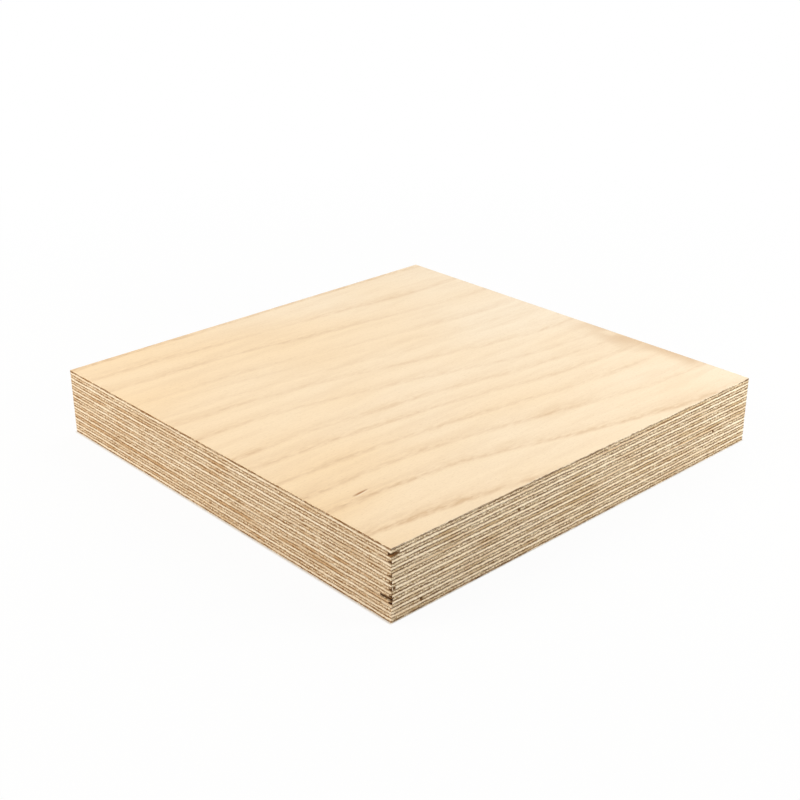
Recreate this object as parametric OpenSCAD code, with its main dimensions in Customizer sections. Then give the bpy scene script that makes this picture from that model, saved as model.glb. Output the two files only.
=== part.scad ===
// Square block of many-ply plywood, cut from a thick panel.
// Peeled veneers are stacked with the grain of each turned a quarter against the next,
// between a thin decorative veneer on the face and another on the back.
// The panel lies flat on its back: X runs along the face grain, Y across it and Z is up.
// The origin is at the middle of the underside.

/* [Panel] */
// Length along the face grain
panel_length = 210; // [60:5:1250]
// Width across the face grain
panel_width = 210; // [60:5:1250]

/* [Lay-up] */
// Number of core plies, odd so that both sides of the panel pull alike
core_ply_count = 21; // [17:2:29]
// Thickness of one pressed core ply, with its share of the glue
core_ply_thickness = 1.37; // [0.8:0.01:3]
// Thickness of the sanded veneer on the face
face_veneer_thickness = 0.73; // [0.2:0.01:1.2]
// Thickness of the sanded veneer on the back
back_veneer_thickness = 0.5; // [0.2:0.01:1.2]

/* [Corner damage] */
// Core ply, counted from the face, that lost a splinter from the front edge
front_splinter_ply = 2; // [2:2:16]
// Length of the lost splinter along the front edge
front_splinter_length = 4.2; // [1:0.1:12]
// Depth of the lost splinter at the corner
front_splinter_depth = 1.4; // [0.2:0.1:3]
// Core ply, counted from the face, that lost a splinter from the left edge
left_splinter_ply = 15; // [3:2:17]
// Length of the lost splinter along the left edge
left_splinter_length = 5.5; // [1:0.1:12]
// Depth of the lost splinter at the corner
left_splinter_depth = 0.7; // [0.2:0.1:3]
// Length of a crumb broken from the corner, along the front edge
crumb_length = 0.5; // [0.2:0.1:2]
// Width of a crumb broken from the corner, along the left edge
crumb_width = 1.3; // [0.2:0.1:2]

/* [Hidden] */
// Core plies, counted from the face, that lost a crumb where the saw came out at the front corner
crumbled_plies = [4, 8, 10, 12, 14, 16];

face_colour = "#F6DDB8";
crosswise_colour = "#E6C79A";
lengthwise_colour = "#BC9A6C";

function ply_name(n) = str("core_ply_", n < 10 ? "0" : "", n);
function ply_bottom(n) = back_veneer_thickness + (core_ply_count - n) * core_ply_thickness;

// Odd plies, the two outermost among them, have their grain across the face grain.
function is_crosswise(n) = n % 2 == 1;

// What the front corner of a ply has lost along the front and the left edge, or nothing.
function corner_loss(n) =
    n == front_splinter_ply ? [front_splinter_length, front_splinter_depth]
    : n == left_splinter_ply ? [left_splinter_depth, left_splinter_length]
    : len(search(n, crumbled_plies)) > 0 ? [crumb_length, crumb_width]
    : [0, 0];

// Outline of one sheet, with the front corner broken off by a length along each edge.
module sheet_outline(loss = [0, 0]) {
    left = -panel_length / 2;
    front = -panel_width / 2;
    broken_corner = loss[0] > 0
        ? [[left, front + loss[1]], [left + loss[0], front]]
        : [[left, front]];
    polygon(concat(broken_corner, [[-left, front], [-left, -front], [left, -front]]));
}

module face_veneer() {
    color(face_colour)
        translate([0, 0, ply_bottom(0)])
            linear_extrude(face_veneer_thickness)
                sheet_outline();
}

module core_ply(n) {
    color(is_crosswise(n) ? crosswise_colour : lengthwise_colour)
        translate([0, 0, ply_bottom(n)])
            linear_extrude(core_ply_thickness)
                sheet_outline(corner_loss(n));
}

module back_veneer() {
    color(face_colour)
        linear_extrude(back_veneer_thickness)
            sheet_outline();
}

face_veneer();
for (n = [1:core_ply_count])
    core_ply(n);
back_veneer();
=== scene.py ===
import math

import bpy
import numpy as np
from mathutils import Matrix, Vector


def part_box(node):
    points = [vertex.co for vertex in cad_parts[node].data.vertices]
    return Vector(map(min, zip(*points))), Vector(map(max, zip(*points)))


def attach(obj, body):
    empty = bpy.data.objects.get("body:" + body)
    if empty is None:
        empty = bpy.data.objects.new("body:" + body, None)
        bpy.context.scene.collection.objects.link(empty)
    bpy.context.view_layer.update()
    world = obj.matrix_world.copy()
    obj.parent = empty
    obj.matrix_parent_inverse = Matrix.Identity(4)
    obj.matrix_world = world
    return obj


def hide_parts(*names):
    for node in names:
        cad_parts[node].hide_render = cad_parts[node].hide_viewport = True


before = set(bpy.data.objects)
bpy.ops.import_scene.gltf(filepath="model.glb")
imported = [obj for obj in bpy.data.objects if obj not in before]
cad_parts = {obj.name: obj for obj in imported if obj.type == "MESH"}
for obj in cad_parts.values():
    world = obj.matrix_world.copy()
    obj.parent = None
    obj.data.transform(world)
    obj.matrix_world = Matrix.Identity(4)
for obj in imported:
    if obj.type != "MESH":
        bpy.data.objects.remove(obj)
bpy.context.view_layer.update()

mm = 0.001  # shapes are worked out in millimetres and stored in metres
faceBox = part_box("face_veneer")
half = faceBox[1].x / mm  # half the panel's side, the same along X and Y
plyNames = sorted(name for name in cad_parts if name.startswith("core_ply_"))
sharpAngle = 40  # degrees, shading breaks at edges sharper than this
woodIndex = 1.5  # refractive index of wood and of cured glue
print("frame loaded:", len(plyNames), "core plies, side", round(2 * half, 2), "mm")


# sRGB hex code to the linear colour that shaders take
def linearColour(code):
    part = np.array([int(code[k:k + 2], 16) for k in (1, 3, 5)]) / 255
    part = np.where(part <= 0.04045, part / 12.92, ((part + 0.055) / 1.055) ** 2.4)
    return (*part.tolist(), 1.0)


# smooth noise from -1 to 1: random heights on a lattice, blended between its points
# by the cubic 3t^2 - 2t^3; u and v count lattice steps
def latticeNoise(u, v, seed, size=512):
    heights = np.random.default_rng(seed).uniform(-1, 1, (size, size))
    u, v = np.broadcast_arrays(u, v)
    column, row = np.floor(u).astype(int), np.floor(v).astype(int)
    s, t = u - column, v - row
    s, t = s * s * (3 - 2 * s), t * t * (3 - 2 * t)
    column, row = column % size, row % size
    nextColumn, nextRow = (column + 1) % size, (row + 1) % size
    near = heights[column, row] * (1 - s) + heights[nextColumn, row] * s
    far = heights[column, nextRow] * (1 - s) + heights[nextColumn, nextRow] * s
    return near * (1 - t) + far * t


# the same noise from 0 to 1
def shareNoise(u, v, seed):
    return 0.5 + 0.5 * latticeNoise(u, v, seed)


# cubic step from 0 at low to 1 at high
def smoothStep(low, high, x):
    t = np.clip((x - low) / (high - low), 0, 1)
    return t * t * (3 - 2 * t)


# straight blend from the first to the second of a pair
def between(pair, share):
    return pair[0] + (pair[1] - pair[0]) * share


# puts points, faces, map and point attributes into one mesh object;
# faces is a list of (corners, material index, map places), one row to a face
def makePiece(name, points, faces, attributes, materials):
    mesh = bpy.data.meshes.new(name)
    mesh.vertices.add(len(points))
    mesh.vertices.foreach_set("co", (points * mm).astype(np.float32).ravel())
    corners = np.concatenate([np.ravel(group[0]) for group in faces])
    sizes = np.concatenate([np.full(len(group[0]), group[0].shape[1]) for group in faces])
    slots = np.concatenate([np.broadcast_to(group[1], len(group[0])) for group in faces])
    mesh.loops.add(len(corners))
    mesh.loops.foreach_set("vertex_index", corners.astype(np.int32))
    mesh.polygons.add(len(sizes))
    starts = np.concatenate([[0], np.cumsum(sizes)[:-1]])
    mesh.polygons.foreach_set("loop_start", starts.astype(np.int32))
    mesh.polygons.foreach_set("material_index", slots.astype(np.int32))
    mesh.update(calc_edges=True)
    places = np.concatenate([group[2].reshape(-1, 2) for group in faces])
    mesh.uv_layers.new(name="OFBake").data.foreach_set("uv", places.astype(np.float32).ravel())
    for label, values in attributes.items():
        layer = mesh.attributes.new(label, "FLOAT", "POINT")
        layer.data.foreach_set("value", np.broadcast_to(values, len(points)).astype(np.float32))
    for material in materials:
        mesh.materials.append(material)
    mesh.shade_smooth()
    mesh.set_sharp_from_angle(angle=math.radians(sharpAngle))
    piece = bpy.data.objects.new(name, mesh)
    bpy.context.scene.collection.objects.link(piece)
    return piece


# flat face inside a closed ring of points: a fan of triangles from the ring to a coarser
# ring further in, and one flat polygon inside that; upwards says which way it faces
def capFaces(ring, inner, upwards):
    count, fewer = len(ring), len(inner)
    at = np.arange(count)
    here, there = at * fewer // count, (at + 1) * fewer // count
    following = np.roll(ring, -1)
    fan = np.stack([ring, following, inner[here]], 1)
    turn = there > here
    step = np.stack([following, inner[there % fewer], inner[here]], 1)[turn]
    around = [np.concatenate([fan, step]), inner[None, :]]
    return around if upwards else [group[:, ::-1] for group in around]


# places on the bake map of a flat face, shrunk into a small square
def capPlaces(corners, points, square):
    return square[:2] + (points[corners][..., :2] / (2 * half) + 0.5) * square[2]


# adds one node; inputs are values or sockets to link, settings are its own options
def addNode(tree, kind, inputs=None, **settings):
    node = tree.nodes.new("ShaderNode" + kind)
    for option, value in settings.items():
        setattr(node, option, value)
    for socket, value in (inputs or {}).items():
        if isinstance(value, bpy.types.NodeSocket):
            tree.links.new(value, node.inputs[socket])
        else:
            node.inputs[socket].default_value = value
    return node


# the empty node tree of a new material or world
def emptyTree(owner):
    owner.use_nodes = True
    owner.node_tree.nodes.clear()
    return owner.node_tree


# a material with one Principled shader, whose fixed values are set here, and the piece's own places
def newFinish(name, look):
    material = bpy.data.materials.new(name)
    tree = emptyTree(material)
    fixed = {"Roughness": look["roughness"], "Specular IOR Level": look["specular"], "IOR": woodIndex}
    shader = addNode(tree, "BsdfPrincipled", fixed)
    addNode(tree, "OutputMaterial", {"Surface": shader.outputs[0]})
    place = addNode(tree, "TexCoord").outputs["Object"]
    return material, tree, shader, place


# one point attribute of the piece
def attribute(tree, label):
    return addNode(tree, "Attribute", attribute_name=label).outputs["Fac"]


# one step of arithmetic on sockets and numbers
def calculate(tree, operation, *values):
    return addNode(tree, "Math", dict(enumerate(values)), operation=operation).outputs[0]


# a value carried from the range span to the range gives, straight or along a cubic step
def remap(tree, value, span, gives=(0, 1), smooth=False):
    ranges = {"From Min": span[0], "From Max": span[1], "To Min": gives[0], "To Max": gives[1]}
    curve = "SMOOTHSTEP" if smooth else "LINEAR"
    return addNode(tree, "MapRange", {"Value": value, **ranges}, interpolation_type=curve).outputs[0]


# noise with steps of the part's reach, in mm along X, Y and Z
def noise(tree, place, part):
    steps = [1 / (length * mm) for length in part["reach"]]
    mapped = addNode(tree, "Mapping", {"Vector": place, "Scale": steps})
    inputs = {"Vector": mapped.outputs[0], "Scale": 1, "Detail": part["detail"]}
    return addNode(tree, "TexNoise", inputs).outputs[0]


# that noise carried to what the part gives, times a strength
def cloud(tree, place, part, strength=1):
    low, high = part["gives"]
    return remap(tree, noise(tree, place, part), part["span"], (strength * low, strength * high))


# a part whose noise runs along Y instead of X
def alongY(part):
    x, y, z = part["reach"]
    return dict(part, reach=(y, x, z))


mixA, mixB, mixResult = 6, 7, 2  # sockets of the Mix node that carry colours


# the first colour mixed with the second by a share; colours are hex codes or sockets
def mixed(tree, share, first, second):
    first, second = (linearColour(each) if isinstance(each, str) else each for each in (first, second))
    return addNode(tree, "Mix", {0: share, mixA: first, mixB: second}, data_type="RGBA").outputs[mixResult]


# fine relief from a height, which rises so many mm
def addBump(tree, shader, height, strength, rise):
    bump = addNode(tree, "Bump", {"Strength": strength, "Distance": rise * mm, "Height": height})
    tree.links.new(bump.outputs[0], shader.inputs["Normal"])


# a noise part has its reach in mm and its detail; noise within span, from faint to full,
# becomes what it gives
faceLook = dict(
    earlywood="#FCEBD1", latewood="#DFBE96", blush="#FADCB0", bundle="#EACEA5", pore="#BF9A6E",
    # the lip colour is a painted highlight on the bark fleck's raised rim
    edgeTone="#D0AA7E", bark="#9C5E18", lipHighlight="#FFF0D6",
    bandWidth=13, bandShare=0.43,         # mm of slow darkening before a yearly line, and how dark it gets
    lineSpan=(5.2, 1.8), lineShare=0.4,   # mm left of the year where its dark line starts and is full
    lineStop=3.2,                         # mm over which the line clears again at the year's end
    fray=0.03,                            # share of a year's width by which fibres fray its line
    # fibre bundles, drawn about twice as wide as they are
    fibre=dict(reach=(7, 0.35, 0.35), detail=2, span=(0.45, 0.8), gives=(0, 0.28)),
    # vessel lines, drawn coarser than their 0.1 mm so that they show
    vessel=dict(reach=(1.5, 0.3, 0.3), detail=0, span=(0.56, 0.8), gives=(0, 1)),
    poreShare=0.16, poreSink=0.6,         # how dark and, against the fibres, how deep a vessel line is
    # flecks where latewood and earlywood mix in the sanded surface
    mottle=dict(reach=(5, 1.4, 1.4), detail=2, span=(0.35, 0.65), gives=(0.4, 1.4)),
    # soft darker streaks that follow no yearly line
    smoke=dict(reach=(45, 6, 6), detail=2, span=(0.45, 0.7), gives=(0, 0.2)),
    # slow drift of colour over the sheet, and how much warmer its left end is painted: a painted light
    # gradient, the right end paler as under sheen
    drift=dict(reach=(90, 45, 45), detail=1, span=(0.4, 0.7), gives=(0, 0.3)), sheenlessWarmth=0.62,
    bump=dict(strength=0.35, rise=0.03), roughness=0.62, roughnessSwing=0.08, specular=0.3,
)


# birch veneer, peeled and belt-sanded: pale cream, each year's growth darkening slowly to a
# line and then starting pale again, with short vessel lines along the grain and a dull sheen
def sandedBirchVeneer(name, look):
    material, tree, shader, place = newFinish(name, look)
    fibre = noise(tree, place, look["fibre"])

    # millimetres still to go to the next yearly line, its edge frayed by the fibres
    fray = remap(tree, fibre, (0, 1), (-look["fray"], look["fray"]))
    age = calculate(tree, "ADD", attribute(tree, "ring"), fray)
    left = calculate(tree, "SUBTRACT", 1, calculate(tree, "FRACT", age))
    left = calculate(tree, "MULTIPLY", left, attribute(tree, "ringGap"))

    # latewood: the slow darkening and the line, both cleared at the year's end, then mottled
    slow = remap(tree, left, (look["bandWidth"], 0), (0, look["bandShare"]), smooth=True)
    line = remap(tree, left, look["lineSpan"], (0, look["lineShare"]), smooth=True)
    stop = remap(tree, left, (0, look["lineStop"]), smooth=True)
    late = calculate(tree, "ADD", slow, line)
    for factor in (stop, attribute(tree, "ringDepth"), cloud(tree, place, look["mottle"])):
        late = calculate(tree, "MULTIPLY", late, factor)
    late = calculate(tree, "ADD", late, cloud(tree, place, look["smoke"]))

    # slow drift of the earlywood towards a warmer tone, and painted sheen: warmer at the left end, paler
    # towards the right; the latewood lies over it
    inLength = addNode(tree, "SeparateXYZ", {0: place}).outputs[0]
    warm = remap(tree, inLength, (-half * mm, half * mm), (look["sheenlessWarmth"], 0))
    blush = calculate(tree, "ADD", cloud(tree, place, look["drift"]), warm)
    colour = mixed(tree, blush, look["earlywood"], look["blush"])
    colour = mixed(tree, late, colour, look["latewood"])

    # fibre bundles and vessel lines
    bundle = remap(tree, fibre, look["fibre"]["span"], look["fibre"]["gives"])
    colour = mixed(tree, bundle, colour, look["bundle"])
    vessel = look["vessel"]
    pore = remap(tree, noise(tree, place, vessel), vessel["span"], vessel["gives"], smooth=True)
    colour = mixed(tree, calculate(tree, "MULTIPLY", pore, look["poreShare"]), colour, look["pore"])

    # darker patch at the right edge, then the painted highlight on the bark fleck's raised rim, and the fleck
    # itself
    for label, tint in (("edgeTone", "edgeTone"), ("lipHighlight", "lipHighlight"), ("fleck", "bark")):
        colour = mixed(tree, attribute(tree, label), colour, look[tint])
    tree.links.new(colour, shader.inputs["Base Color"])

    # sanding leaves fibre bundles proud and vessel lines open
    sunk = calculate(tree, "MULTIPLY", pore, -look["poreSink"])
    addBump(tree, shader, calculate(tree, "ADD", fibre, sunk), **look["bump"])
    sheen = (look["roughness"] - look["roughnessSwing"], look["roughness"] + look["roughnessSwing"])
    tree.links.new(remap(tree, fibre, (0, 1), sheen), shader.inputs["Roughness"])
    return material


edgeLook = dict(
    pale="#FDEED6", streak="#EED3AA", dull="#CDA876",  # long grain, cut along the fibres
    # the torn and bruise colours carry the painted shade inside holes and splinters
    pore="#8A683F", tornAndShade="#3E1F0A", bruiseAndShade="#80613F",
    # fibre bundles in a ply's edge, and where its pale band dulls, for grain along X
    bundles=dict(reach=(14, 0.3, 0.3), detail=2, span=(0.45, 0.75), gives=(0, 0.8)),
    dulling=dict(reach=(30, 0.9, 0.9), detail=3, span=(0.5, 0.7), gives=(0, 0.65)),
    # nicks in long grain and open vessels in end grain, drawn coarser than their 0.1 mm
    nicks=dict(reach=(1, 1, 0.5), detail=2, span=(0.54, 0.7), gives=(0, 0.75)),
    specks=dict(reach=(0.8, 0.8, 0.35), detail=3, span=(0.4, 0.64), gives=(0, 1)),
    # slow drift of colour along the edge, and rays and lathe checks through the ply
    patches=dict(reach=(16, 16, 2.5), detail=2, span=(0.48, 0.7), gives=(0, 0.8)),
    rays=dict(reach=(0.45, 0.45, 2.5), detail=1, span=(0.6, 0.78), gives=(0, 0.5)),
    # ragged fibre ends, and how torn the wood is where it is bruised brown with painted shade, and where it
    # is painted dark with the shade inside a hole
    ragged=dict(reach=(0.5, 0.5, 0.5), detail=2, span=(0.3, 0.7), gives=(-0.2, 0.2)),
    bruiseShadeSpan=(0.05, 0.35), tornShadeSpan=(0.4, 0.9),
    # how far a glue line leans, strays and drifts, as shares of a ply's half thickness
    lean=dict(reach=(9, 9, 2.7), detail=2, span=(0.25, 0.75), gives=(-0.2, 0.2)),
    stray=dict(reach=(1.25, 1.25, 0.5), detail=2, span=(0.25, 0.75), gives=(-0.3, 0.3)),
    drift=dict(reach=(13, 13, 0.7), detail=1, span=(0.25, 0.75), gives=(-0.12, 0.12)),
    # how it fades in and out
    fade=dict(reach=(4, 4, 0.45), detail=3, span=(0.36, 0.58), gives=(0.42, 1)),
    # the glue stain is partly painted shade: its dark band stands for glue soaked into the wood and for the
    # shade along each glue line
    longGlueAndShade=(0.37, 0.8), longStainAndShade=0.9,  # where the stain starts and is full, in the same shares,
    endGlueAndShade=(0.42, 0.72), endStainAndShade=0.95,  # and how strong it is, on long and on end grain
    longBump=dict(strength=0.4, rise=0.04), endBump=dict(strength=0.5, rise=0.08),
    roughness=0.85, specular=0.2,
)
# end grain differs with the log: the lengthwise plies are redder, the crosswise ones greyer
# each glue colour stands for the glue and for the painted shade along the glue line
redEnd = dict(edgeLook, tan="#FCEACD", fleck="#B08959", patch="#C9A275", glue="#784A04")
greyEnd = dict(edgeLook, tan="#F7E6C9", fleck="#97794B", patch="#C2A57A", glue="#583200")
filmLook = dict(
    film="#A9794A", brown="#9C7748", mottle=dict(reach=(90, 90, 90), detail=0), roughness=0.5, specular=0.4,
)


# share of glue stain and painted shade, 1 at the glue line, from the place across the ply: its edge strays a
# little along the ply, and its strength fades in and out; the dark band is the glue and also the shade along
# the joint, painted
def glueStain(tree, place, look, span, strength):
    across = calculate(tree, "ADD", attribute(tree, "across"), cloud(tree, place, look["lean"]))
    near = calculate(tree, "ABSOLUTE", across)
    for part in ("stray", "drift"):
        near = calculate(tree, "ADD", near, cloud(tree, place, look[part]))
    stainAndShade = remap(tree, near, span, smooth=True)
    return calculate(tree, "MULTIPLY", stainAndShade, cloud(tree, place, look["fade"], strength))


# torn wood over a sawn colour, with painted shade: bruised brown at the rim of a hole, partly painted shade,
# and nearly black inside it, where the hole's shade is painted
def tornWoodAndShade(tree, place, look, colour):
    tornAndShade = attribute(tree, "tornAndShade")
    deep = calculate(tree, "ADD", tornAndShade, cloud(tree, place, look["ragged"]))
    colour = mixed(tree, remap(tree, tornAndShade, look["bruiseShadeSpan"]), colour, look["bruiseAndShade"])
    return mixed(tree, remap(tree, deep, look["tornShadeSpan"]), colour, look["tornAndShade"])


# birch ply sawn along its grain: the palest bands of the edge, smooth, with fine lengthwise
# streaks, browner towards the glue from glue stain and painted shade; turned says that the grain runs along Y
def sawnLongGrain(name, look, glue, turned):
    material, tree, shader, place = newFinish(name, look)
    bundles, dulling = look["bundles"], look["dulling"]
    if turned:
        bundles, dulling = alongY(bundles), alongY(dulling)
    streak = noise(tree, place, bundles)
    share = remap(tree, streak, bundles["span"], bundles["gives"])
    colour = mixed(tree, share, look["pale"], look["streak"])
    for part in (dulling, look["nicks"]):
        colour = mixed(tree, cloud(tree, place, part), colour, look["dull"])
    stainAndShade = glueStain(tree, place, look, look["longGlueAndShade"], look["longStainAndShade"])
    colour = mixed(tree, stainAndShade, colour, glue)
    tree.links.new(tornWoodAndShade(tree, place, look, colour), shader.inputs["Base Color"])
    addBump(tree, shader, streak, **look["longBump"])
    return material


# birch ply sawn across its grain: darker and rougher, open vessels as specks, rays and lathe
# checks as faint lines through the ply, and a broad stain where glue soaked into the open ends, with the
# shade along the glue line painted into it
def sawnEndGrain(name, look):
    material, tree, shader, place = newFinish(name, look)
    patch = calculate(tree, "ADD", noise(tree, place, look["patches"]), attribute(tree, "tone"))
    speck = noise(tree, place, look["specks"])
    ray = noise(tree, place, look["rays"])
    colour = look["tan"]
    for value, part, tint in ((speck, "specks", "fleck"), (patch, "patches", "patch"), (ray, "rays", "pore")):
        share = remap(tree, value, look[part]["span"], look[part]["gives"])
        colour = mixed(tree, share, colour, look[tint])
    stainAndShade = glueStain(tree, place, look, look["endGlueAndShade"], look["endStainAndShade"])
    colour = mixed(tree, stainAndShade, colour, look["glue"])
    tree.links.new(tornWoodAndShade(tree, place, look, colour), shader.inputs["Base Color"])
    addBump(tree, shader, calculate(tree, "ADD", speck, ray), **look["endBump"])
    return material


# the pressed side of a ply under its cured glue: brown, slightly glossy, mottled over a
# hand's breadth; it shows only as a hair line where one ply stands back from the next
def curedGlueFilm(name, look):
    material, tree, shader, place = newFinish(name, look)
    colour = mixed(tree, noise(tree, place, look["mottle"]), look["film"], look["brown"])
    tree.links.new(colour, shader.inputs["Base Color"])
    return material


sandedFace = sandedBirchVeneer("sanded birch veneer", faceLook)
lengthwise = [sawnLongGrain("birch sawn along the grain, lengthwise ply", edgeLook, greyEnd["glue"], False),
              sawnEndGrain("birch sawn across the grain, lengthwise ply", redEnd)]
crosswise = [sawnLongGrain("birch sawn along the grain, crosswise ply", edgeLook, redEnd["glue"], True),
             sawnEndGrain("birch sawn across the grain, crosswise ply", greyEnd)]
glueFilm = curedGlueFilm("cured glue film", filmLook)
print("finishes made:", len(bpy.data.materials))


plyEdge = dict(
    step=0.45,                                # mm between points along an edge
    brokenStep=0.2, brokenLeast=8,            # the same along the broken corner, and its fewest steps
    rows=6, tornRows=10,                      # strips across the thickness, closer at the glue
    sawPitch=1.7, sawMark=0.012,              # mm, ridges that the saw left through all plies
    sawSwing=2, sawSwingLength=9,             # radians and mm, how unevenly they follow each other
    ripple=0.03, rippleLength=7,              # mm, slow waviness of the cut
    pit=0.1, pitLength=0.6, longPit=0.15,     # mm, torn fibre ends on end grain; their share on long grain
    pitRows=3, pitShift=7,                    # noise steps of the pits through a ply and from ply to ply
    groove=0.05, groovePower=6,               # mm that the edge falls back at a glue line, and how abruptly
    grooveSwing=0.4, grooveLength=4, grooveRows=0.5,  # share by which that varies, and its noise steps
    sideGap=300,                              # mm between the sides in the noise, so that they differ
    seeds=dict(saw=11, ripple=12, pit=13, groove=14, tear=15),
    capInset=0.96, capPoints=84,              # coarser ring inside each hidden side
)
# the front corner as the saw left it: mm lost along the front and the left edge, as in the solids,
# how much further in the torn pocket goes, the half height of the hole as a share of the ply's,
# both at its left and its front end, how far below the ply's middle it lies, and how dark the torn
# wood and the painted shade inside the hole are at those two ends
frontSplinter = dict(plies=(2,), loss=(4.2, 1.4), pocket=0.35, height=(1.1, 1.3), drop=0, dark=(0.7, 0.2))
leftSplinter = dict(plies=(15,), loss=(0.7, 5.5), pocket=0.9, height=(0.3, 0.8), drop=0, dark=(1.1, 1.1))
crumbs = dict(plies=(4, 8, 10, 12, 14), loss=(0.5, 1.3), pocket=0.35, height=(0.3, 0.8), drop=0.25,
              dark=(0.45, 0.7))
deepCrumb = dict(crumbs, plies=(16,), height=(0.35, 0.95), dark=(0.9, 1.1))
# how ragged those holes are: mm of one noise step, noise steps through a ply, softness and raggedness
# of the hole's edge as shares of the half thickness, and the pocket's depth and how that varies
tear = dict(length=0.6, rows=2.5, soft=0.2, rag=0.12, depth=0.8, swing=0.4)
# small holes in the end grain of the front edge: ply and mm from the middle of that edge
frontHoles = dict(places=((7, -40.8), (19, -90.7), (13, 81.5), (12, -103.5)), length=0.48, depth=0.5)
redPly = dict(ply=16, tone=0.14)  # one ply peeled from a redder log
# holes on the two back edges, at random, painted dark inside with their shade: mm kept clear at the corners,
# and how their sizes vary
strayHoles = dict(count=16, length=0.4, depth=0.35, dark=0.8, clear=8, sizes=(0.6, 1.5), seed=61)
# bake map of a ply: each edge in four lengths, a row each, then the broken corner and the caps
plyMap = dict(parts=4, rowHeight=0.057, margin=0.004, brokenRow=16,
              caps=((0.02, 0.972, 0.026), (0.06, 0.972, 0.026)))
frontSide, rightSide, backSide, leftSide, brokenSide = range(5)  # sides of a ply, the broken corner last
tiny = 1e-6  # keeps a rounded share on its own part of the map


# corners of a ply seen from above, anticlockwise from the front corner, with any loss there
def plyCorners(loss):
    front = [(-half + loss[0], -half)]
    rest = [(half, -half), (half, half), (-half, half)]
    last = [(-half, -half + loss[1])] if loss[1] else []
    return np.array(front + rest + last, float)


# how far the saw's marks, torn fibres and glue grooves lie below the edge: a wave along the cut,
# slow noise, squared noise that is deep in few places, and a steep power towards both glue lines
def sawnRelief(number, along, across, onEnd):
    edge, seeds = plyEdge, plyEdge["seeds"]
    swing = edge["sawSwing"] * latticeNoise(along / edge["sawSwingLength"], 0 * along, seeds["saw"])
    marks = edge["sawMark"] * (0.5 + 0.5 * np.sin(2 * math.pi * along / edge["sawPitch"] + swing))
    ripple = edge["ripple"] * shareNoise(along / edge["rippleLength"], number + across, seeds["ripple"])
    through = edge["pitRows"] * (across + 1) / 2 + edge["pitShift"] * number
    fine = shareNoise(along / edge["pitLength"], through, seeds["pit"])
    pits = edge["pit"] * np.where(onEnd, 1, edge["longPit"])[:, None] * fine ** 2
    through = number + edge["grooveRows"] * across
    wander = edge["grooveSwing"] * latticeNoise(along / edge["grooveLength"], through, seeds["groove"])
    groove = edge["groove"] * (1 - edge["grooveSwing"] + wander) * np.abs(across) ** edge["groovePower"]
    return marks + ripple + pits + groove


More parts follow.
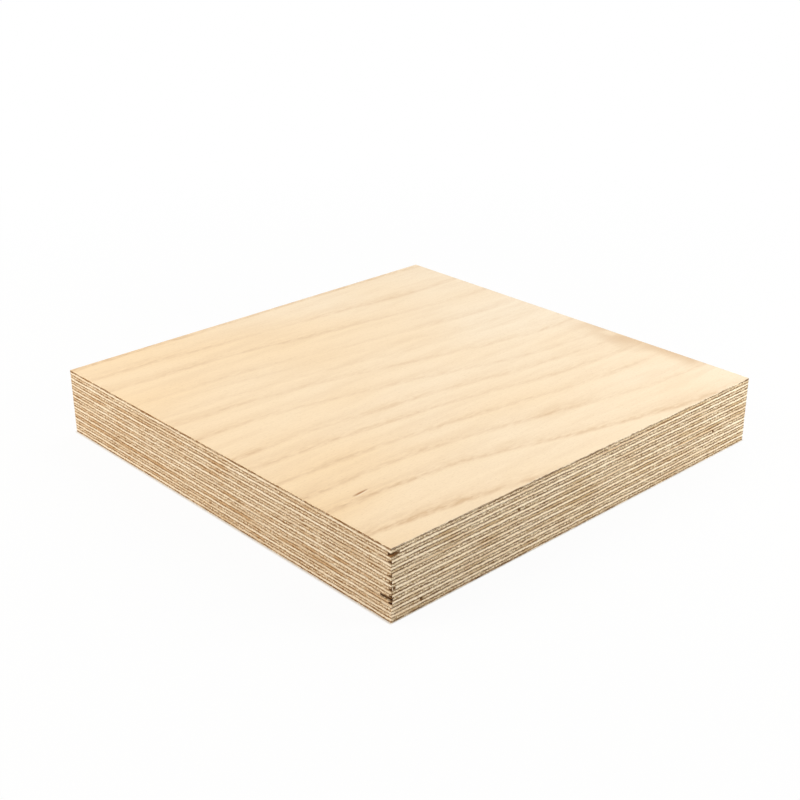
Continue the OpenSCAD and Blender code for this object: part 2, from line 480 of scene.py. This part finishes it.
# a closed outline carried up through the ply: each edge is cut into equal steps, and each
# point is pushed in, square to its edge, by the relief, the holes and the broken corner
def sawnPly(number, name):
    low, high = (corner.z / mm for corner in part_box(name))
    losses = (frontSplinter, leftSplinter, crumbs, deepCrumb)
    lost = next((kind for kind in losses if number in kind["plies"]), None)
    corners = plyCorners(lost["loss"] if lost else (0, 0))
    ends = np.roll(corners, -1, axis=0)
    lengths = np.hypot(*(ends - corners).T)
    parts, least = plyMap["parts"], plyEdge["brokenLeast"]
    counts = [parts * round(length / plyEdge["step"] / parts) for length in lengths[:brokenSide]]
    counts += [max(least, round(length / plyEdge["brokenStep"])) for length in lengths[brokenSide:]]
    side = np.repeat(np.arange(len(counts)), counts)
    share = np.concatenate([np.arange(n) / n for n in counts])
    outline = corners[side] + (ends - corners)[side] * share[:, None]
    inward = np.stack([-(ends - corners)[:, 1], (ends - corners)[:, 0]], 1) / lengths[:, None]
    first = share == 0  # corner points are pushed in along both edges at once
    before = inward[np.roll(side, 1)]
    mitre = (before + inward[side]) / (1 + (before * inward[side]).sum(1))[:, None]
    push = np.where(first[:, None], mitre, inward[side])

    across = -np.cos(np.linspace(0, math.pi, (plyEdge["tornRows"] if lost else plyEdge["rows"]) + 1))
    rows = (across + 1) / 2
    turned = number % 2 == 1  # odd plies have their grain along Y
    onEnd = np.isin(side, (frontSide, backSide) if turned else (rightSide, leftSide))
    run = share * lengths[side]
    relief = sawnRelief(number, (run + plyEdge["sideGap"] * side)[:, None], across, onEnd)
    tornAndShade = np.zeros_like(relief)

    # holes: round dents, deepest in the middle of the ply, painted dark inside with their shade
    dome = 1 - across ** 2
    for ply, place in frontHoles["places"]:
        if ply == number:
            reach = np.exp(-(((outline[:, 0] - place) / frontHoles["length"]) ** 2)) * (side == frontSide)
            relief += frontHoles["depth"] * reach[:, None] * dome
            tornAndShade = np.maximum(tornAndShade, reach[:, None] * dome)
    draw = np.random.default_rng(strayHoles["seed"] + number)
    clear = strayHoles["clear"]
    for edge in (rightSide, backSide):
        found = draw.poisson(strayHoles["count"] / len(plyNames) / 2)
        for place in draw.uniform(clear, 2 * half - clear, found):
            size = strayHoles["length"] * draw.uniform(*strayHoles["sizes"])
            reach = np.exp(-(((run - place) / size) ** 2)) * (side == edge)
            relief += strayHoles["depth"] * reach[:, None] * dome
            tornAndShade = np.maximum(tornAndShade, strayHoles["dark"] * reach[:, None] * dome)

    # broken corner: whole at the glue lines, cut back at the height of the hole, with a ragged pocket
    base = np.repeat(outline[:, None, :], len(rows), axis=1)
    if lost:
        broken = side == brokenSide
        s = share[broken][:, None]
        whole = np.stack([-half + lost["loss"][0] * np.maximum(0, 2 * s[:, 0] - 1),
                          -half + lost["loss"][1] * np.maximum(0, 1 - 2 * s[:, 0])], 1)
        through = tear["rows"] * rows + number
        rag = latticeNoise(run[broken][:, None] / tear["length"], through, plyEdge["seeds"]["tear"])
        outside = np.abs(across + lost["drop"]) - between(lost["height"], s) + tear["rag"] * rag
        hole = 1 - smoothStep(-tear["soft"], tear["soft"], outside)
        base[broken] += (whole[:, None, :] - base[broken]) * (1 - hole)[..., None]
        bow = np.sqrt(np.sin(math.pi * np.clip(s, 0, 1)))
        relief[broken] = lost["pocket"] * bow * hole * (tear["depth"] + tear["swing"] * rag)
        # the torn wood in the hole is painted dark with the hole's shade, from one end to the other
        tornAndShade[broken] = between(lost["dark"], s) * hole

    longSlot, endSlot, filmSlot = range(3)
    count, levels = len(outline), len(rows)
    band = np.empty((count, levels, 3))
    band[..., :2] = base + push[:, None, :] * relief[..., None]
    band[..., 2] = low + (high - low) * rows
    index = np.arange(count * levels).reshape(count, levels)
    nextIndex = np.roll(index, -1, axis=0)
    quads = np.stack([index[:, :-1], nextIndex[:, :-1], nextIndex[:, 1:], index[:, 1:]], -1).reshape(-1, 4)
    slot = np.repeat(np.where(onEnd | (side == brokenSide), endSlot, longSlot), levels - 1)

    # map places of the band: its row, then along the row and up it
    sawn = side < brokenSide
    part = np.floor(share * parts + tiny)
    row = np.where(sawn, side * parts + part, plyMap["brokenRow"])
    scale = np.where(sawn, parts, 1)
    left = share * scale - np.where(sawn, part, 0)
    right = left + scale / np.array(counts)[side]
    margin, height = plyMap["margin"], plyMap["rowHeight"]
    u = margin + (1 - 2 * margin) * np.stack([left, right, right, left], 1)
    u = np.repeat(u[:, None, :], levels - 1, axis=1)
    rise = margin + (height - 2 * margin) * np.stack([rows[:-1], rows[:-1], rows[1:], rows[1:]], 1)
    v = (row * height)[:, None, None] + rise[None]
    places = np.stack([u, v], -1).reshape(-1, 4, 2)

    # the two hidden sides
    fewer = plyEdge["capPoints"]
    chosen = np.arange(fewer) * count // fewer
    points = [band.reshape(-1, 3)]
    faces = [(quads, slot, places)]
    acrossAll = [np.tile(across, count)]
    for level, square in zip((0, levels - 1), plyMap["caps"]):
        inner = np.column_stack([plyEdge["capInset"] * outline[chosen], np.full(fewer, band[0, level, 2])])
        inside = sum(len(group) for group in points) + np.arange(fewer)
        points.append(inner)
        acrossAll.append(np.full(fewer, across[level]))
        for group in capFaces(index[:, level], inside, upwards=level > 0):
            faces.append((group, filmSlot, capPlaces(group, np.concatenate(points), np.array(square))))
    attributes = {"across": np.concatenate(acrossAll),
                  "tornAndShade": np.concatenate([tornAndShade.ravel(), np.zeros(2 * fewer)]),
                  "tone": np.array([redPly["tone"] if number == redPly["ply"] else 0])}
    piece = makePiece("sawnPly%02d" % number, np.concatenate(points), faces, attributes,
                      (crosswise if turned else lengthwise) + [glueFilm])
    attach(piece, "root")
    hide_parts(name)
    return piece


for number, name in enumerate(plyNames, 1):
    sawnPly(number, name)
print("core plies sawn:", len(plyNames))


# yearly lines of the face, in mm from its back edge, at its left and right end, how far each one
# bulges towards the front in between, and how dark it is
faceRings = dict(
    leftEnd=(-16, 5, 20, 35, 55, 63, 73, 82, 98, 122.5, 134.5, 149.8, 165, 179, 200, 226),
    rightEnd=(-12, 5, 33, 54, 76.5, 89, 96.5, 114, 132.5, 143.5, 155.5, 168.5, 190, 214, 234, 264),
    bulge=(0, -1, 1.5, 1.5, 1, 0.3, 1.2, 0.7, 3.3, 0.5, 0.5, 2, -0.5, 0.8, 6.5, 0),
    depth=(0.57, 1.0, 0.68, 0.62, 0.48, 0.32, 0.32, 0.73, 0.73, 0.7, 0.75, 0.78, 0.86, 1.1, 1.1, 1.1),
    bendStart=0.1,                 # share of the length that stays straight before the lines sag
    wave=1.0, waveLength=38,       # mm, slow wander of each line
    shiver=0.3, shiverLength=7,    # mm, quick wander
    fade=0.4, fadeLength=24,       # how much of a line comes and goes, and over what length
    farFade=0.45,                  # how much fainter the lines are at the right end
    seed=31,
)
# the back has lines of its own: mm from each one to the next
backRings = dict(
    leftEnd=np.cumsum([-30, 22, 17, 24, 15, 19, 26, 18, 14, 21, 25, 17, 20, 24, 22]),
    rightEnd=np.cumsum([-42, 24, 19, 22, 17, 21, 24, 20, 16, 19, 23, 19, 22, 26, 24]),
    bulge=(0,) * 15, depth=(0.7,) * 15, bendStart=0.3, wave=1.6, waveLength=45, shiver=0.3, shiverLength=7,
    fade=0.4, fadeLength=24, farFade=0, seed=57,
)
# noise steps from one line to the next, fewest mm between two lines, and the most of a year that can pass
ringSteps = dict(wave=0.6, shiver=3.3, fade=4.7, leastGap=0.5, most=0.9999)
sandedSheet = dict(
    faceCells=(300, 280), backCells=(150, 140),  # cells along X and Y
    gather=3.0, gatherWidth=9,      # how much closer, and over what mm, the cells lie at the fleck
    gatherPoints=4001,              # places tried for that
    wave=0.012, waveLength=16, waveStretch=3,  # mm, waviness left by the sanding belt, longer along X
    arris=0.07, arrisWidth=0.5,     # mm, how far the sharp edge is worn down
    edgeRag=0.05,                   # mm, splinters off the sharp edge
    ragPoints=2.2, ragShift=5.0,    # points to one noise step of those, and steps from side to side
    rimAcross=0.45,                 # place across the ply that the sharp edge shows, short of the glue
    capPoints=84, capInset=0.96,
    map=dict(face=(0.002, 0.062, 0.996, 0.936), rowHeight=0.013, margin=0.002, cap=(0.02, 0.053, 0.008)),
)
# bark fleck in mm and degrees: its girth at the middle and how it thins to the right, as shares of
# the width, and the painted highlight on its raised rim, how strong and how many girths to the front
barkFleck = dict(x=-86.4, y=-68.25, length=8.4, width=1.2, tilt=5, depth=0.06, girth=0.75, thinning=0.5,
                 lipHighlight=0.6, lipAside=1.5)
# darker patch at the right edge, in mm from the back edge and in from the right one: where it fades in
# and out, how ragged its inner edge is, and its lighter spots
edgeTonePatch = dict(start=108, full=128, wane=180, end=192, width=13, share=0.6, rag=0.6, ragLength=11,
                   ragSeed=71, spots=(-1.6, 0.6), spotLength=9, spotWidth=6, spotSeed=72)


# how many yearly lines lie before a point, with the share of the way to the next one;
# every line runs from its left to its right height along a smooth bend
def ringCount(x, down, rings):
    u = (x + half) / (2 * half)
    bend = smoothStep(rings["bendStart"], 1, u)
    order = np.arange(len(rings["leftEnd"]))[:, None]
    left, right, bulge = (np.array(rings[key], float)[:, None] for key in ("leftEnd", "rightEnd", "bulge"))
    wave = latticeNoise(x[None] / rings["waveLength"], ringSteps["wave"] * order, rings["seed"])
    shiver = latticeNoise(x[None] / rings["shiverLength"], ringSteps["shiver"] * order, rings["seed"] + 1)
    lines = left + (right - left) * bend[None] + bulge * (4 * u * (1 - u))[None]
    lines = lines + rings["wave"] * wave + rings["shiver"] * shiver
    passed = np.clip((down[None] > lines).sum(0) - 1, 0, len(lines) - 2)
    at = np.arange(len(x))
    before, after = lines[passed, at], lines[passed + 1, at]
    gap = np.maximum(after - before, ringSteps["leastGap"])
    fade = latticeNoise(x / rings["fadeLength"], ringSteps["fade"] * passed, rings["seed"] + 4)
    depth = np.array(rings["depth"])[passed + 1] * (1 + rings["fade"] * fade) * (1 - rings["farFade"] * u)
    return passed + np.clip((down - before) / gap, 0, ringSteps["most"]), gap, depth


# places from -half to half, closer together round one of them
def gathered(count, centre, sheet):
    spread = np.linspace(-half, half, sheet["gatherPoints"])
    crowd = 1 + sheet["gather"] * np.exp(-(((spread - centre) / sheet["gatherWidth"]) ** 2))
    total = np.concatenate([[0], np.cumsum((crowd[1:] + crowd[:-1]) / 2)])
    return np.interp(np.linspace(0, total[-1], count + 1), total, spread)


# the fleck and the painted highlight on its raised rim: a bell curve across, an arch along, fuller at the
# left end
def fleckShares(x, y, fleck):
    turn = math.radians(fleck["tilt"])
    along = (x - fleck["x"]) * math.cos(turn) + (y - fleck["y"]) * math.sin(turn)
    aside = (y - fleck["y"]) * math.cos(turn) - (x - fleck["x"]) * math.sin(turn)
    taper = np.clip(1 - (2 * along / fleck["length"]) ** 2, 0, 1)
    girth = fleck["width"] / 2 * (fleck["girth"] - fleck["thinning"] * along / fleck["length"])
    lipHighlight = fleck["lipHighlight"] * taper * np.exp(-(((aside + fleck["lipAside"] * girth) / girth) ** 2))
    return taper * np.exp(-((aside / girth) ** 2)), lipHighlight


# share of the darker patch at the right edge: smooth steps at its two ends and in from the right edge, broken
# up by noise
def edgeToneShare(x, down, patch):
    ends = smoothStep(patch["start"], patch["full"], down)
    ends = ends * (1 - smoothStep(patch["wane"], patch["end"], down))
    rag = latticeNoise(down / patch["ragLength"], 0 * down, patch["ragSeed"])
    ragged = patch["width"] * (1 + patch["rag"] * rag)
    light = latticeNoise(x / patch["spotWidth"], down / patch["spotLength"], patch["spotSeed"])
    spots = smoothStep(*patch["spots"], light)
    return patch["share"] * ends * spots * (1 - smoothStep(0, 1, (half - x) / ragged))


# a sanded sheet: a grid of heights over the panel for the side that shows, a skirt down to
# the other side, and a flat fan there; outside is 1 for the face and -1 for the back
def sandedVeneer(name, node, outside, rings, cells, marked):
    sheet, chart = sandedSheet, sandedSheet["map"]
    low, high = (corner.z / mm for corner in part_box(node))
    shown, hidden = (high, low) if outside > 0 else (low, high)
    xs = gathered(cells[0], barkFleck["x"], sheet)
    ys = gathered(cells[1], barkFleck["y"], sheet)
    x, y = (grid.ravel() for grid in np.meshgrid(xs, ys))
    ring, gap, depth = ringCount(x, half - y, rings)
    fleck, lipHighlight = (marked * shares for shares in fleckShares(x, y, barkFleck))
    edgeTone = marked * edgeToneShare(x, half - y, edgeTonePatch)

    # heights: belt waviness, the worn sharp edge and the bark fleck
    inset = np.minimum(half - np.abs(x), half - np.abs(y))
    stretched = x / (sheet["waveStretch"] * sheet["waveLength"])
    fall = sheet["wave"] * shareNoise(stretched, y / sheet["waveLength"], rings["seed"] + 2)
    fall = fall + sheet["arris"] * (1 - smoothStep(0, sheet["arrisWidth"], inset))
    fall = fall + barkFleck["depth"] * fleck

    across, tall = len(xs), len(ys)
    grid = np.arange(across * tall).reshape(tall, across)
    quads = np.stack([grid[:-1, :-1], grid[:-1, 1:], grid[1:, 1:], grid[1:, :-1]], -1).reshape(-1, 4)
    border = np.concatenate([grid[0, :-1], grid[:-1, -1], grid[-1, :0:-1], grid[:0:-1, 0]])
    counts = np.array([across - 1, tall - 1, across - 1, tall - 1])
    side = np.repeat(np.arange(4), counts)
    share = np.concatenate([np.arange(n) / n for n in counts])

    # the skirt: the border moved in a little by splinters, then straight to the hidden side
    steps = np.arange(len(border)) / sheet["ragPoints"]
    rag = sheet["edgeRag"] * shareNoise(steps, side * sheet["ragShift"], rings["seed"] + 3)
    face = np.column_stack([x, y, shown - outside * fall])
    face[border, :2] *= (1 - rag / half)[:, None]
    foot = np.column_stack([x[border], y[border], np.full(len(border), hidden)])
    ringFoot = len(face) + np.arange(len(border))
    skirt = np.stack([ringFoot, np.roll(ringFoot, -1), np.roll(border, -1), border], -1)
    fewer = sheet["capPoints"]
    chosen = np.arange(fewer) * len(border) // fewer
    inner = foot[chosen] * [sheet["capInset"], sheet["capInset"], 1]
    inside = len(face) + len(border) + np.arange(fewer)
    points = np.concatenate([face, foot, inner])

    # map places: the shown side over most of the map, the skirt in four rows under it
    faceSlot, longSlot, endSlot, filmSlot = range(4)
    frameOf = np.array(chart["face"])
    spread = frameOf[:2] + (points[:, :2] / (2 * half) + 0.5) * frameOf[2:]
    margin, height = chart["margin"], chart["rowHeight"]
    left, right = share, share + 1 / counts[side]
    u = margin + (1 - 2 * margin) * np.stack([left, right, right, left], 1)
    v = (side * height)[:, None] + margin + (height - 2 * margin) * np.array([0, 0, 1, 1.0])
    skirtSlot = np.where(np.isin(side, (rightSide, leftSide)), endSlot, longSlot)
    faces = [(quads, faceSlot, spread[quads]), (skirt, skirtSlot, np.stack([u, v], -1))]
    for group in capFaces(ringFoot, inside, upwards=False):
        faces.append((group, filmSlot, capPlaces(group, points, np.array(chart["cap"]))))
    if outside < 0:
        faces = [(corners[:, ::-1], slot, places[:, ::-1]) for corners, slot, places in faces]

    # each attribute on the shown side, and its value on the skirt's foot and the hidden side
    rest = len(border) + fewer
    rim = np.full(len(face), sheet["rimAcross"])
    values = {"ring": (ring, 0), "ringGap": (gap, 1), "ringDepth": (depth, 0), "lipHighlight": (lipHighlight, 0),
              "fleck": (fleck, 0), "edgeTone": (edgeTone, 0), "across": (rim, 1), "tornAndShade": (0 * rim, 0)}
    attributes = {label: np.concatenate([seen, np.full(rest, unseen)])
                  for label, (seen, unseen) in values.items()}
    piece = makePiece(name, points, faces, attributes, [sandedFace, *lengthwise, glueFilm])
    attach(piece, "root")
    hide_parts(node)
    return piece


sandedVeneer("sandedFace", "face_veneer", 1, faceRings, sandedSheet["faceCells"], 1)
sandedVeneer("sandedBack", "back_veneer", -1, backRings, sandedSheet["backCells"], 0)
print("veneers sanded")


studio = dict(
    floorSide=8.0, floorGap=0.00005,  # m
    floorColour="#F4F4F2",
    whiteShare=(0.94, 1.0),           # share of the floor that the camera sees as plain white,
    whiteReach=(0.16, 0.5),           # by the panel and further off, and how many m away those are
    contactReach=(0.0014, 0.0005),    # m from the panel's foot that its own shade reaches along X and Y
    skyLight=0.35, white=1.0,         # strength of the even light, and of what shows as white
)
# soft boxes: place and side in m, power in W, and a faint tint
softBoxes = dict(
    leftBox=dict(place=(-0.58, 0.33, 0.4), side=0.6, power=3.95, tint="#FFF7EA"),
    rightBox=dict(place=(0.37, -0.45, 0.22), side=0.3, power=2.25, tint="#FEFBF3"),
    topBox=dict(place=(0.7, 0.3, 0.95), side=0.7, power=4.7, tint="#F0F6FF"),
)
pureWhite = (1, 1, 1, 1)


# 1 for what the camera sees, straight or mirrored, and 0 for light that is only scattered
def seenDirectly(tree):
    path = addNode(tree, "LightPath")
    return calculate(tree, "MAXIMUM", path.outputs["Is Camera Ray"], path.outputs["Is Glossy Ray"])


# white paper sweep: the camera sees it as white, and the object's shadow stays on it
def paperSweep(name, settings):
    material = bpy.data.materials.new(name)
    tree = emptyTree(material)
    paper = addNode(tree, "BsdfDiffuse", {"Color": linearColour(settings["floorColour"])})
    white = addNode(tree, "Emission", {"Color": pureWhite, "Strength": settings["white"]})
    place = addNode(tree, "TexCoord").outputs["Object"]
    away = addNode(tree, "VectorMath", {0: place}, operation="LENGTH").outputs["Value"]
    share = remap(tree, away, settings["whiteReach"], settings["whiteShare"], smooth=True)
    share = calculate(tree, "MULTIPLY", seenDirectly(tree), share)
    part = addNode(tree, "SeparateXYZ", {0: place})
    clear = []
    for axis, reach in enumerate(settings["contactReach"]):
        aside = calculate(tree, "ABSOLUTE", part.outputs[axis])
        clear.append(remap(tree, aside, (half * mm, half * mm + reach), smooth=True))
    share = calculate(tree, "MULTIPLY", share, calculate(tree, "MAXIMUM", *clear))
    both = addNode(tree, "MixShader", {0: share, 1: paper.outputs[0], 2: white.outputs[0]})
    addNode(tree, "OutputMaterial", {"Surface": both.outputs[0]})
    return material


# even white light all round, shown to the camera as plain white
def lightSky(settings):
    world = bpy.data.worlds.new("white studio")
    tree = emptyTree(world)
    strength = remap(tree, seenDirectly(tree), (0, 1), (settings["skyLight"], settings["white"]))
    sky = addNode(tree, "Background", {"Color": pureWhite, "Strength": strength})
    addNode(tree, "OutputWorld", {"Surface": sky.outputs[0]})
    bpy.context.scene.world = world


# a square soft box that looks at the middle of the panel
def softBox(name, place, side, power, tint):
    data = bpy.data.lights.new(name, "AREA")
    data.shape, data.size, data.energy = "SQUARE", side, power
    data.color = linearColour(tint)[:3]
    lamp = bpy.data.objects.new(name, data)
    bpy.context.scene.collection.objects.link(lamp)
    lamp.location = place
    lamp.rotation_euler = (-lamp.location).to_track_quat("-Z", "Y").to_euler()
    return lamp


reach = studio["floorSide"] / 2
floorCorners = [(-reach, -reach), (reach, -reach), (reach, reach), (-reach, reach)]
floorMesh = bpy.data.meshes.new("paperSweep")
floorMesh.from_pydata([(x, y, -studio["floorGap"]) for x, y in floorCorners], [], [(0, 1, 2, 3)])
floorMesh.materials.append(paperSweep("white paper", studio))
floor = bpy.data.objects.new("paperSweep", floorMesh)
bpy.context.scene.collection.objects.link(floor)
lightSky(studio)
for name, settings in softBoxes.items():
    softBox(name, **settings)
print("studio lit")


# the photo's viewpoint: where it stands, its bearing, tilt down and roll in degrees, and its lens
view = dict(place=(-0.3687, -0.3962, 0.2636), bearing=47.354, tilt=24.455, roll=0.267,
            lens=60.68, sensor=36.0, nearest=0.01)
bearing, tilt, roll = (math.radians(view[key]) for key in ("bearing", "tilt", "roll"))
forward = np.array([math.cos(bearing) * math.cos(tilt), math.sin(bearing) * math.cos(tilt), -math.sin(tilt)])
level = np.array([math.sin(bearing), -math.cos(bearing), 0])
downward = np.cross(forward, level)
right = math.cos(roll) * level + math.sin(roll) * downward
upward = math.sin(roll) * level - math.cos(roll) * downward
cameraData = bpy.data.cameras.new("viewpoint")
cameraData.lens, cameraData.sensor_width = view["lens"], view["sensor"]
cameraData.clip_start = view["nearest"]
camera = bpy.data.objects.new("viewpoint", cameraData)
bpy.context.scene.collection.objects.link(camera)
rows = zip(right, upward, -forward, view["place"])
camera.matrix_world = Matrix([[*row] for row in rows] + [[0, 0, 0, 1]])
bpy.context.scene.camera = camera
bpy.context.scene.view_settings.view_transform = "Standard"
print("camera set")
